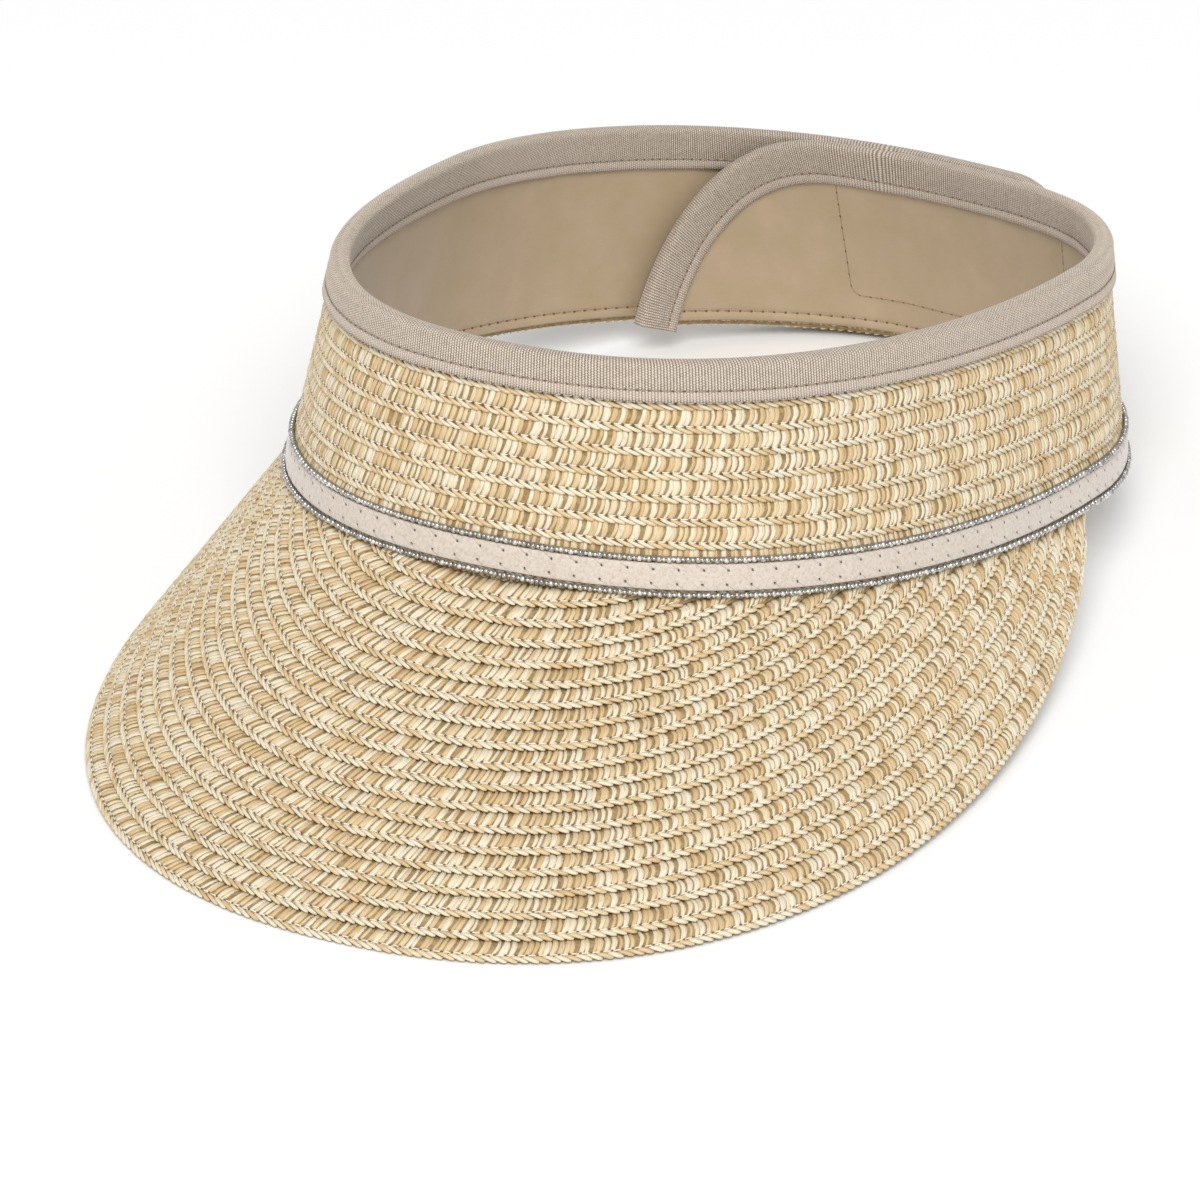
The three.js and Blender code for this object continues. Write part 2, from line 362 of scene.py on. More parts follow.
def per_tube(values):
    """One value a tube, shaped to broadcast over its rings and sides."""
    return np.asarray(values)[:, None, None]


def each(count, spread, middle=0.0):
    """One random value a tube."""
    return per_tube(middle + spread * rng.standard_normal(count).clip(-SPREAD_LIMIT, SPREAD_LIMIT))


def lengthwise(start, end, rings):
    """Places of a tube's rings, shaped to broadcast over the tubes and their sides."""
    return np.linspace(start, end, rings)[None, :, None]


def tube_grid(start, end, rings, sides):
    """Places of a tube's rings and angles of its sides."""
    return lengthwise(start, end, rings), (np.arange(sides) + 0.5)[None, None, :] * 2 * math.pi / sides


def grain_of(*values):
    """Three values at each point, for the material."""
    return np.stack(np.broadcast_arrays(*values), axis=-1)


def sheet_part(front, back, *grain):
    """One closed skin, as a part of a piece, from the points [along, across, 3] of its two sides."""
    skin = np.concatenate([front, back], axis=1)
    return skin, tube_faces(1, len(skin), skin.shape[1]), 0, grain_of(*grain)


def strand_tubes(strip, depth, slope):
    """The plaited strands: flat tubes that lean and bow, each a little different."""
    count = round(strip.length / STRAND_SPACE)
    space = strip.length / count
    place = (per_tube(np.arange(count)) + 0.5 + each(count, spread=0.16)) * space
    wide, lean = each(count, spread=0.12, middle=STRAND_WIDTH), each(count, spread=0.06, middle=slope)
    bow, lift = each(count, spread=0.12, middle=STRAND_BOW), each(count, spread=0.07)
    rings, sides = 7, 7
    t, turn = tube_grid(0, 1, rings, sides)
    v = STRAND_FROM + (STRAND_TO - STRAND_FROM) * t
    u = place + lean * (v - STRAND_FROM) + bow * np.sin(math.pi * np.clip(t * 1.15, 0, 1))
    taper = 0.50 + 0.50 * np.sin(math.pi * np.clip(0.10 + 0.88 * t, 0, 1)) ** 0.8
    du = wide * taper * np.cos(turn)
    w = np.interp(v, DEPTH_AT, depth) + lift + STRAND_THICKNESS * taper * np.sin(turn)
    points = strip.at(strip.kept(strip.square(u + du, v)), v, w)
    tone = per_tube(rng.random(count))
    shift = STRAND_GRAIN * per_tube(np.arange(count))
    return points, tube_faces(count, rings, sides), 0, grain_of(du + shift, v, tone)


def ridge_tubes(strip):
    """Short strands laid over one another like a rope's, along the row's edge."""
    count = round(strip.length / RIDGE_STEP)
    step = strip.length / count
    count = int(min(count, (strip.along[-1] - RIDGE_LENGTH - RIDGE_START) / step))
    place = RIDGE_START + (per_tube(np.arange(count)) + each(count, spread=0.05)) * step
    rings, sides = 7, 6
    t, turn = tube_grid(0, 1, rings, sides)
    u = place + RIDGE_LENGTH * t
    arch = np.sin(math.pi * t)
    taper = 0.48 + 0.52 * arch ** 0.55
    dv = each(count, spread=0.03, middle=RIDGE_WIDTH) * taper * np.cos(turn)
    v = RIDGE_FROM + (RIDGE_TO - RIDGE_FROM) * eased(t) + dv
    w = RIDGE_DEPTH + each(count, spread=0.04, middle=RIDGE_ARCH) * arch
    w = w + RIDGE_THICKNESS * taper * np.sin(turn)
    points = strip.at(strip.kept(u), v, w)
    tone = per_tube(0.75 * rng.random(count) ** 1.2)
    shift = RIDGE_GRAIN * per_tube(np.arange(count))
    return points, tube_faces(count, rings, sides), 0, grain_of(dv + shift, u, tone)


FIRST_STITCH = 0.5  # from the end of a seam to its first stitch
STITCH_PART = 0.86  # the visible part of a stitch's pitch
HOLE_HEIGHT = 0.05


def fitted(length, pitch, first):
    """How many stitches lie along a seam, and the pitch that fills it."""
    count = round((length - 2 * first) / pitch)
    return count, (length - 2 * first) / count


def stitch_tubes(at, length, pitch, size, depth, first=FIRST_STITCH):
    """Stitches of thread along a seam; at(distance, aside, out) gives points. They dip in at both ends."""
    count, pitch = fitted(length, pitch, first)
    place = first + per_tube(np.arange(count)) * pitch
    rings, sides = 5, 5
    t, turn = tube_grid(0, 1, rings, sides)
    rise = np.sin(math.pi * t) ** 0.5
    points = at(place + t * pitch * STITCH_PART + 0 * turn, size * np.cos(turn) + 0 * place * t,
                depth * (rise - 1) + size * np.sin(turn) + 0 * place)
    return points, tube_faces(count, rings, sides)


def hole_shade_tubes(at, length, pitch, size, out, first=FIRST_STITCH):
    """Dark discs between the stitches: the painted shade of the needle holes."""
    count, pitch = fitted(length, pitch, first)
    place = first + (per_tube(np.arange(count)) + (STITCH_PART - 1) / 2) * pitch
    rings, sides = 3, 6
    t, turn = tube_grid(-1, 1, rings, sides)
    reach = np.sqrt(1.15 - t * t)
    points = at(place + size * t + 0 * turn, size * 0.8 * reach * np.cos(turn) + 0 * place,
                out + HOLE_HEIGHT * reach * np.sin(turn) + 0 * place)
    return points, tube_faces(count, rings, sides)


def shade_backing(strip, depth):
    """A thin core in the middle of the strands, so that no light shows between them, coloured as painted
    shade.
    """
    rings = max(4, int(strip.length / CORE_SPACE))
    u = lengthwise(0.0, strip.length, rings)
    across = np.array(DEPTH_AT + DEPTH_AT[::-1])
    lower = np.where(np.arange(len(across)) < len(DEPTH_AT), 0.0, -CORE_THICKNESS)
    w = np.interp(across, DEPTH_AT, depth) + lower
    return strip.at(strip.kept(u), across[None, None, :], w[None, None, :]), tube_faces(1, rings, len(across))


def braid_row(name, strip, depth, slope, first, nodes, body):
    """One row of braid: straw, its core in painted shade, its sewing thread and the painted shade of its
    needle holes.
    """
    thread_height = float(np.interp(THREAD_LINE, DEPTH_AT, depth)) + THREAD_RISE

    def seam(u, aside, out):
        return strip.at(strip.kept(u), THREAD_LINE + aside, out + thread_height)

    parts = [
        strand_tubes(strip, depth, slope),
        ridge_tubes(strip),
        (*shade_backing(strip, depth), 1, None),
        (*hole_shade_tubes(seam, strip.length, STITCH, size=0.24, out=0.06, first=first), 3, None),
        (*stitch_tubes(seam, strip.length, STITCH, size=0.13, depth=0.34, first=first), 2, None),
    ]
    materials = [straw_material, core_shade_material, thread_material, hole_shade_material]
    return piece(name, parts, materials, nodes, body)


def strip_from(grid_points, across):
    """A Strip from world points [along, across, 3]; its along marks are lengths of its middle line."""
    tangent = np.gradient(grid_points, axis=0)
    sideways = np.gradient(grid_points, axis=1)
    normals = unit(np.cross(tangent, sideways))
    return Strip(grid_points, normals, running_length(middle_line(grid_points)), across)


ROW_ACROSS = np.linspace(ROW_START, BRIM_PITCH + BRIM_OVERLAP, 12)
SEAM_TUCK = 0.9  # the rows of the brim end this far inside the band's bottom edge
LEAST_ROOM = 1.4  # a row ends where less than this is left of it
BRIM_FIRST_STITCH = 4
SEAM_LOW, SEAM_IN = -2.6, -1.0  # the turned-up row starts below and behind the bottom of the band
SEAM_HIGH = 6.0


def brim_strip(number):
    """The strip of brim of one row; across it, 0 is the row's outer edge."""
    fine = np.linspace(0, BRIM_END, 2001)
    outer = number * BRIM_PITCH
    room = ruling(fine)[2] + SEAM_TUCK - outer * slant(fine)
    end = fine[np.nonzero(room > LEAST_ROOM)[0][-1]]
    half = np.sin(np.linspace(0, math.pi / 2, 260)) * end
    angle = np.concatenate([-half[:0:-1], half])
    width, lean = ruling(angle)[2][:, None], slant(angle)[:, None]
    inset = np.minimum((outer + ROW_ACROSS) * lean, width + SEAM_TUCK)
    angles = np.broadcast_to(angle[:, None], inset.shape)
    strip = strip_from(world(brim_point(angles, width - inset)), ROW_ACROSS)
    strip.normals = tilted(brim_normal(angles, width - inset))
    return strip


def seam_strip():
    """The inner edge of the brim, turned up and sewn behind the bottom of the band."""
    s = np.linspace(-1, 1, 900) * float(np.interp(BRIM_END, ARC_ANGLES, ARC_LENGTHS))
    across = np.linspace(ROW_START, SEAM_HIGH, 9)
    return strip_from(wall(s[:, None], SEAM_LOW + across[None, :], SEAM_IN), across)


def build_brim():
    for number in range(BRIM_COURSES):
        name = f"{number + 1:02d}"
        braid_row(f"brim_row_{name}", brim_strip(number), BRIM_DEPTH, BRIM_LEAN, BRIM_FIRST_STITCH,
                  [f"brim_course_{name}"], "visor")
    braid_row("brim_seam_row", seam_strip(), BAND_DEPTH, BAND_LEAN, BRIM_FIRST_STITCH, [], "visor")


# ---- the band's two halves ----
# Each half runs from the middle of the front to its own end.
SIDES = {"left_end": -1, "right_end": 1}
HINGE_ZONE = 9  # the hinge zone's ends lie this far on each side of the hinge
SHIFT_START = HINGE + 4  # from here round the inner end moves in, out of the outer one's way


def inner_shift(s):
    whole = HALF_ROUND - SHIFT_END - SHIFT_START
    return INNER_SHIFT * eased(np.clip((np.abs(s) - SHIFT_START) / whole, 0, 1))


def shift_in(body, s):
    """The inner end lies inside the outer one, which stands clear of it past the middle of the back."""
    if body == "right_end":
        return inner_shift(s)
    return np.where(np.abs(s) > HALF_ROUND, inner_shift(2 * HALF_ROUND - np.abs(s)) - INNER_SHIFT, 0)


def hinge_zone(body):
    side = SIDES[body]
    ends = [wall(side * (HINGE + d), BAND_HEIGHT / 2, 0) for d in (-HINGE_ZONE, HINGE_ZONE)]
    return [tuple(e * MM) for e in ends]


HALVES = {body: hinge_zone(body) for body in SIDES}


def tip_at(body, h, inset):
    """How far round the end reaches at a height; its corner is a quarter of an oval."""
    tip = TIPS[body]
    up = np.clip((h - BAND_HEIGHT + tip["rise"]) / (tip["rise"] - inset), 0, 1)
    return HALF_ROUND + tip["past"] - tip["corner"] + (tip["corner"] - inset) * np.sqrt(1 - up**2)


def top_at(body, s, inset):
    """How high the end reaches at a distance round."""
    tip = TIPS[body]
    beyond = np.clip((s - HALF_ROUND - tip["past"] + tip["corner"]) / (tip["corner"] - inset), 0, 1)
    return BAND_HEIGHT - tip["rise"] + (tip["rise"] - inset) * np.sqrt(1 - beyond**2)


STRAW_TOP = BAND_HEIGHT - TAPE - GAP
BAND_PITCH = STRAW_TOP / BAND_COURSES
BAND_REACH = 6.6  # a row of the band reaches this far up under the next ones
FRONT_JOIN = 4  # strands of one half run up to this far into the other at the middle of the front
END_INSET = 2.0  # straw and lining stay this far inside the end's rounded edge, under the tape


def band_strip(body, number):
    side = SIDES[body]
    low = number * BAND_PITCH
    end = float(tip_at(body, low + BAND_PITCH / 2, END_INSET))
    s = np.concatenate([np.linspace(-FRONT_JOIN, 0, 10)[:-1], np.linspace(0.0, end, 700)])
    across = np.linspace(ROW_START, BAND_REACH, 9)
    if side < 0:
        s = s[::-1]
    under_tape = np.minimum(STRAW_TOP, top_at(body, s, END_INSET))
    h = np.minimum(low + across, under_tape[:, None])
    grid_s = np.broadcast_to((side * s)[:, None], h.shape)
    strip = strip_from(wall(grid_s, h, shift_in(body, grid_s)), across)
    front = strip.along[np.argmin(np.abs(s))]
    return strip.joined(0, front) if side < 0 else strip.joined(front, strip.along[-1] - front)


def build_band():
    for body in SIDES:
        name = body.split("_")[0]
        for number in range(BAND_COURSES):
            nodes = [f"crown_braid_{name}", "crown_braid_front"] if number == 0 else []
            row = f"band_row_{number + 1:02d}_{name}"
            braid_row(row, band_strip(body, number), BAND_DEPTH, BAND_LEAN, 0, nodes, body)


# ---- binding ----
RIB = 0.62  # the tape's ribs, from one to the next
RIB_SAMPLES = 4
TAPE_FACE_OUT, TAPE_FACE_IN = 0.85, -2.95
TAPE_INSIDE_WIDTH = 9.4
TAPE_SEAM = 2.2  # the stitches' distance from the tape's edge
TAPE_STITCH = 2.3
TAPE_THICKNESS = 0.4
TAPE_GROOVE, GROOVE_WIDTH = -0.20, 0.3
FLOAT_SPACE = 0.5  # the weave's floats, from one to the next across the tape
TAPE_FOOT = 0.9  # the tape ends this high
EDGE_FOLD, FOLD_RISE = 1.3, 1.15  # where the faces end, and how far the fold reaches up from there
FACE_POINTS = 8


def edge_line(body):
    """Points along the edge of one half: (distance, s, h, inward direction along s, and up)."""
    past, corner, rise = (TIPS[body][key] for key in ("past", "corner", "rise"))
    turn = np.linspace(0, math.acos((TAPE_FOOT - BAND_HEIGHT + rise) / rise), 400)
    s = np.concatenate([[0], HALF_ROUND + past - corner + corner * np.sin(turn)])
    h = np.concatenate([[BAND_HEIGHT], BAND_HEIGHT - rise + rise * np.cos(turn)])
    inward = unit(np.stack([-rise * np.sin(turn), -corner * np.cos(turn)], axis=-1))
    inward = np.concatenate([[[0, -1]], inward])
    return running_length(np.stack([s, h], axis=-1)), s, h, inward


class Edge:
    """The edge of one half of the band; at(e, inset, r) is the point e along it and inset in from it."""

    def __init__(self, body):
        self.body, self.side = body, SIDES[body]
        self.marks, self.s, self.h, self.inward = edge_line(body)
        self.length = self.marks[-1]

    def at(self, e, inset, r):
        e, inset, r = np.broadcast_arrays(e, inset, r)
        s = np.interp(e, self.marks, self.s) + np.interp(e, self.marks, self.inward[:, 0]) * inset
        h = np.interp(e, self.marks, self.h) + np.interp(e, self.marks, self.inward[:, 1]) * inset
        return wall(self.side * s, h, r + shift_in(self.body, self.side * s))


def face_insets(width):
    """Places across one face of the tape, closer together at its seam."""
    seam = width - TAPE_SEAM
    return np.array([EDGE_FOLD, 2.6, 3.9, seam - 0.45, seam, seam + 0.45, width - 0.9, width])


def tape_section():
    """(r, inset, normal, distance, distance past the seam) across the tape, from outside to inside."""
    outside, inside = face_insets(BINDING_WIDTH), face_insets(TAPE_INSIDE_WIDTH)
    turn = np.linspace(0, math.pi, 8)[1:-1]
    middle, half = (TAPE_FACE_OUT + TAPE_FACE_IN) / 2, (TAPE_FACE_OUT - TAPE_FACE_IN) / 2
    flat = np.ones(FACE_POINTS)
    r = np.concatenate([flat * TAPE_FACE_OUT, middle + half * np.cos(turn), flat * TAPE_FACE_IN])
    inset = np.concatenate([outside[::-1], EDGE_FOLD - FOLD_RISE * np.sin(turn), inside])
    normal_r = np.concatenate([flat, np.cos(turn), -flat])
    normal_inset = np.concatenate([0 * flat, -np.sin(turn), 0 * flat])
    normal = np.stack([normal_r, normal_inset], axis=-1)
    width = np.where(r > middle, BINDING_WIDTH, TAPE_INSIDE_WIDTH)
    return r, inset, normal, running_length(np.stack([r, inset], axis=-1)), inset - width + TAPE_SEAM


def build_binding(body):
    edge = Edge(body)
    r, inset, normal, across, past_seam = tape_section()
    groove = TAPE_GROOVE * np.exp(-(past_seam / GROOVE_WIDTH) ** 2)
    count = int(edge.length / RIB) * RIB_SAMPLES + 1
    e = np.linspace(0, edge.length, count)[:, None]
    rib = np.cos(2 * math.pi * e / RIB)
    weave = 0.045 * rib * np.cos(math.pi * across / FLOAT_SPACE) ** 2 + 0.035 * rib
    lip = 0.10 * np.cos(math.pi * e / RIB) * (past_seam > TAPE_SEAM - 0.1)
    wave = 0.08 * np.sin(e * 0.31) * np.sin(e * 0.047 + 1)
    out = groove + weave
    outer = edge.at(e, inset + normal[:, 1] * out + lip + wave * (inset > 3), r + normal[:, 0] * out)
    back = np.arange(len(r))[::-1][::3]
    deep = normal[back] * TAPE_THICKNESS
    inner = edge.at(e, inset[back] - deep[:, 1], r[back] - deep[:, 0])
    selvedge = 1.0 * (np.concatenate([past_seam, past_seam[back]]) > 0)
    parts = [sheet_part(outer, inner, e, np.pad(across, (0, len(back))), selvedge)]
    for face, sign, width in ((TAPE_FACE_OUT, 1, BINDING_WIDTH), (TAPE_FACE_IN, -1, TAPE_INSIDE_WIDTH)):
        def seam_at(along, aside, rise, face=face, sign=sign, seam=width - TAPE_SEAM):
            return edge.at(along, seam + aside, face + sign * (rise - 0.06))
        parts.append((*stitch_tubes(seam_at, edge.length, TAPE_STITCH, size=0.15, depth=0.22), 1, None))
        parts.append((*hole_shade_tubes(seam_at, edge.length, TAPE_STITCH, size=0.26, out=0.07), 2, None))
    name = body.split("_")[0]
    materials = [tape_material, tape_thread_with_shade, hole_shade_material]
    nodes = [f"binding_{name}", "binding_front"]
    obj = piece(f"edge_tape_{name}", parts, materials, nodes, body)


# ---- lining ----
HEM = 2.1  # height of the hem's stitches above the lining's bottom edge
HEM_STITCH = 2.7
LINING_OUT, LINING_IN = -1.5, -2.05
LINING_TOP = 1.4  # the lining ends this far in from the band's edge, under the tape
RIPPLE_SEED, RIPPLE_COUNT = 3, 9
LINING_END = 12  # the lining is as long as the end is at this height
LINING_STEPS = 42  # up the lining, with some more of them over the hem
HOOK_SEAM = dict(start=-56, end=10, low=9.2, corner=2.5)
DIAGONAL = 0.7  # of a stitch's width each way, on a seam that turns corners
SEAM_HIDDEN = 1  # the patch's seam runs this far up under the tape


def ripples(s, h, seed):
    """Soft uneven folds of the lining, about -1 to 1."""
    draw = np.random.default_rng(seed)
    total = 0.0
    for _ in range(RIPPLE_COUNT):
        length, lean = draw.uniform(11, 38), draw.uniform(-1.6, 1.6)
        total = total + np.sin(2 * math.pi * (s + lean * h) / length + draw.uniform(0, 6.3)) / RIPPLE_COUNT
    return total * 1.8


def lining_rise(s, h):
    """How far the lining puffs in towards the head: ripples, and puckers and a roll at the hem."""
    up = h - LINING_HEM
    full = np.clip(up / 3, 0, 1) * np.clip((BAND_HEIGHT - h) / 8, 0, 1)
    rise = full * (0.10 + 0.20 * ripples(s, h, RIPPLE_SEED))
    pucker = 0.12 * np.cos(2 * math.pi * s / HEM_STITCH) * np.exp(-((up - HEM) / 2.2) ** 2)
    groove = -0.28 * np.exp(-((up - HEM) / 0.5) ** 2)
    roll = 0.22 * np.exp(-((up - 0.9) / 0.8) ** 2)
    return rise + pucker + groove + roll


def patch_seam():
    """The sewing line of the hook patch on the lining, as (distance, s, h): down, along and up again."""
    start, end, low, corner = (HOOK_SEAM[key] for key in ("start", "end", "low", "corner"))
    turn = np.linspace(0, math.pi / 2, 8)
    hidden = BAND_HEIGHT - TAPE_INSIDE_WIDTH + SEAM_HIDDEN
    sine, cosine = corner * np.sin(turn), corner * np.cos(turn)
    s = np.concatenate([[end], end - corner + cosine, start + corner - sine, [start]])
    h = np.concatenate([[hidden], low + corner - sine, low + corner - cosine, [hidden]])
    return running_length(np.stack([s, h], axis=-1)), HALF_ROUND + s, h


def build_lining(body):
    side = SIDES[body]
    count = 330
    low = LINING_HEM
    marks = np.concatenate([np.linspace(0, 4.4, 12), np.linspace(4.9, LINING_STEPS, 26)]) / LINING_STEPS
    length = float(tip_at(body, LINING_END, END_INSET))
    span = np.linspace(0, length, count)[:, None]
    h = low + marks[None, :] * (top_at(body, span, LINING_TOP) - low)
    s = side * (span + 0 * h)
    shift = shift_in(body, s)
    inside = wall(s, h, LINING_IN + shift - lining_rise(s, h))
    few = np.arange(len(marks))[::-1][::5]
    outside = wall(s[:, few], h[:, few], LINING_OUT + shift[:, few])
    parts = [sheet_part(inside, outside, span, np.concatenate([h, h[:, few]], axis=1), 0.0)]

    def on_lining(where_s, where_h, rise):
        inward = lining_rise(where_s, where_h) + rise
        return wall(where_s, where_h, LINING_IN + shift_in(body, where_s) - inward)

    def hem_at(along, aside, rise):
        return on_lining(side * along, LINING_HEM + HEM + aside + 0 * along, rise)

    seams = [(hem_at, length)]
    if body == "right_end":
        marks_round, seam_s, seam_h = patch_seam()

        def patch_at(along, aside, rise):
            where_s, where_h = np.interp(along, marks_round, seam_s), np.interp(along, marks_round, seam_h)
            return on_lining(where_s + aside * DIAGONAL, where_h + aside * DIAGONAL, rise)

        seams.append((patch_at, marks_round[-1]))
    for at, seam_length in seams:
        parts.append((*stitch_tubes(at, seam_length, HEM_STITCH, size=0.15, depth=0.16), 1, None))
        parts.append((*hole_shade_tubes(at, seam_length, HEM_STITCH, size=0.32, out=0.10), 2, None))
    name = body.split("_")[0]
    materials = [lining_material, lining_thread, hole_shade_material]
    nodes = [f"lining_{name}", "lining_front"]
    obj = piece(f"lining_twill_{name}", parts, materials, nodes, body)


# ---- hook and loop patches ----
PATCHES = {"hook": ("right_end", HOOK), "loop": ("left_end", LOOP)}
PATCH_BASE = {"hook": GAP, "loop": LINING_IN - 0.4}  # the distance out of each patch's sewn-on side
PATCH_FACES = {"hook": 1, "loop": -1}  # outwards or inwards
PILE = {"hook": dict(bend=1.0, tall=0.44, thick=0.07), "loop": dict(bend=1.7, tall=0.30, thick=0.06)}
PILE_SPACE, PILE_IN, PILE_REACH, PILE_FOOT = 1.3, 1.6, 0.36, 0.28
PATCH_RISE = 0.32
PATCH_BORDER = 1  # the seam's distance from the patch's edge


def build_patch(kind):
    """A sewn-on patch of tape: stiff hooks or soft loops on a woven base."""
    body, patch = PATCHES[kind]
    side, base, out = SIDES[body], PATCH_BASE[kind], PATCH_FACES[kind]
    start, long, low = HALF_ROUND + patch["start"], patch["length"], patch["low"]
    wide = patch["high"] - low

    def at(along, up, rise):
        s, up, rise = np.broadcast_arrays(side * (start + along), up, rise)
        return wall(s, low + up, base + out * rise + shift_in(body, s))

    along = np.linspace(0, long, 60)[:, None]
    up = np.linspace(0, wide, 26)
    edge = np.minimum(np.minimum(along, long - along), np.minimum(up, wide - up))
    rise = PATCH_RISE - 0.22 * np.exp(-edge / 0.5) + 0.03 * np.cos(along * 2.4) * np.cos(up * 2.4)
    few = np.arange(len(up))[::-1][::5]
    skin = sheet_part(at(along, up, rise), at(along, up[few], 0.0), along, np.concatenate([up, up[few]]), 0.0)

    columns, rows = int(long / PILE_SPACE) - 2, int(wide / PILE_SPACE) - 2
    count = columns * rows
    place_u = per_tube(PILE_IN + (np.arange(count) % columns) * PILE_SPACE) + each(count, spread=0.12)
    place_v = per_tube(PILE_IN + (np.arange(count) // columns) * PILE_SPACE) + each(count, spread=0.12)
    rings, sides = 7, 4
    t, turn = tube_grid(0, 1, rings, sides)
    bend, tall, thick = (PILE[kind][key] for key in ("bend", "tall", "thick"))
    reach = PILE_REACH * np.sin(math.pi * t * 0.5 * bend)
    lean = each(count, spread=1.0)
    height = PILE_FOOT + tall * np.sin(math.pi * t * 0.8) + thick * np.sin(turn)
    pile = at(place_u + reach * np.cos(lean) + thick * np.cos(turn), place_v + reach * np.sin(lean), height)
    parts = [skin, (pile, tube_faces(count, rings, sides), 0, None)]

    a, b = long - 2 * PATCH_BORDER, wide - 2 * PATCH_BORDER
    marks = np.cumsum([0, a, b, a, b])

    def border(distance, aside, rise):
        u = PATCH_BORDER + np.interp(distance, marks, [0, a, a, 0, 0])
        v = PATCH_BORDER + np.interp(distance, marks, [0, 0, b, b, 0])
        return at(u + aside * DIAGONAL, v + aside * DIAGONAL, rise + PATCH_RISE + 0.04)

    parts.append((*stitch_tubes(border, marks[-1], HEM_STITCH, size=0.11, depth=0.2), 1, None))
    obj = piece(f"{kind}_tape", parts, [pile_material, lining_thread], [f"{kind}_patch"],
                "only " + body)


# ---- trim ----
TRIM_PART = 35 / 37  # of the way from the middle of the front to the hinges
TRIM_HALF = HINGE * TRIM_PART
HOLE_SPACE, HOLE_IN, HOLE_SIZE = 4.7, 1.15, 0.27
SUEDE_FACE, SUEDE_BACK = 0.62, 0.1
SUEDE_SAMPLE = 0.3
SUEDE_THREAD = 0.08
BEAD_SPACE = 1.8
BEAD_RADIUS, BEAD_LENGTH = 0.60, 0.58  # the length is half of the bead's or link's
LINK_RADIUS, LINK_LENGTH = 0.40, 0.46
BEAD_OUT = 0.56


def hole_places():
    """The two rows of needle holes in the suede: (s, h, s of the threads' far ends, h of their far ends)."""
    s = np.arange(-TRIM_HALF + 2, TRIM_HALF - 2, HOLE_SPACE)
    lower, upper = SUEDE_LOW + HOLE_IN, SUEDE_HIGH - HOLE_IN
    over_low, over_high = SUEDE_LOW - 0.2, SUEDE_HIGH + 0.2
    return [(s, lower, s + 1.9, over_low), (s + 0.4, upper, s - 1.4, over_high)]


def build_suede():
    count = int(2 * TRIM_HALF / SUEDE_SAMPLE)
    s = np.linspace(-TRIM_HALF, TRIM_HALF, count)[:, None]
    h = np.concatenate([[SUEDE_LOW], np.linspace(SUEDE_LOW + 0.15, SUEDE_HIGH - 0.15, 18), [SUEDE_HIGH]])
    edge = np.minimum(h - SUEDE_LOW, SUEDE_HIGH - h)
    hole = 0 * (s + h)
    for hole_s, hole_h, _, _ in hole_places():
        nearest = hole_s[0] + np.clip(np.round((s - hole_s[0]) / HOLE_SPACE), 0, len(hole_s) - 1) * HOLE_SPACE
        hole = hole + np.exp(-(((s - nearest) / HOLE_SIZE) ** 2 + ((h - hole_h) / HOLE_SIZE) ** 2))
    swell = 0.03 * np.sin(s * 0.9) * np.sin(h * 1.3 + s * 0.21)
    r = SUEDE_FACE - 0.22 * np.exp(-edge / 0.35) - 0.34 * hole.clip(0, 1) + swell
    few = np.arange(len(h))[::-1][::4]
    # the third grain value marks the needle holes for the material's painted shade
    grain = s, np.concatenate([h, h[few]]), np.pad(hole, ((0, 0), (0, len(few))))
    parts = [sheet_part(wall(s, h, r), wall(s, h[few], SUEDE_BACK), *grain)]
    rings, sides = 5, 4
    t, turn = tube_grid(0, 1, rings, sides)
    out = SUEDE_FACE - 0.12 + 0.12 * np.sin(math.pi * np.clip(t * 1.4, 0, 1)) - 0.10 * t
    for s0, h0, s1, h1 in hole_places():
        line_s = per_tube(s0) + per_tube(s1 - s0) * t
        line_h = h0 + (h1 - h0) * t
        thread = wall(line_s + SUEDE_THREAD * np.cos(turn), line_h, out + SUEDE_THREAD * np.sin(turn))
        parts.append((thread, tube_faces(len(s0), rings, sides), 1, None))
    piece("suede_strip", parts, [suede_material, suede_thread], ["trim_suede"], "visor")


def build_chain(name, height, node):
    """A fine chain: round beads with a smaller link between each two, over a narrow dark strip of painted
    shadow.
    """
    count = 2 * int(2 * TRIM_HALF / BEAD_SPACE)
    s = per_tube(-TRIM_HALF + BEAD_SPACE / 2 + np.arange(count) * BEAD_SPACE / 2)
    big = per_tube(np.arange(count) % 2 == 0)
    radius = np.where(big, BEAD_RADIUS, LINK_RADIUS)
    length = np.where(big, BEAD_LENGTH, LINK_LENGTH)
    rings, sides = 7, 8
    t, turn = tube_grid(-0.96, 0.96, rings, sides)
    circle = np.sqrt(1 - t * t)
    wobble = each(count, spread=0.05)
    beads = wall(s + length * t, height + wobble + radius * circle * np.cos(turn),
                 BEAD_OUT + radius * circle * np.sin(turn))
    samples = 240
    under = lengthwise(-TRIM_HALF, TRIM_HALF, samples)
    up, out = np.array([-0.48, -0.48, 0.48, 0.48]), np.array([0.34, 0.12, 0.12, 0.34])
    # painted shadow: this dark strip stands in for the shade under and between the beads
    tape = wall(under, height + up, out)
    parts = [(beads, tube_faces(count, rings, sides), 0, None),
             (tape, tube_faces(1, samples, len(up)), 1, None)]
    piece(name, parts, [chain_material, chain_painted_shadow], [node], "visor")


# ---- materials ----
# The grain's first two values are in millimetres. A place and a bump's distance are in metres.
TWILL_SPACE = 0.42


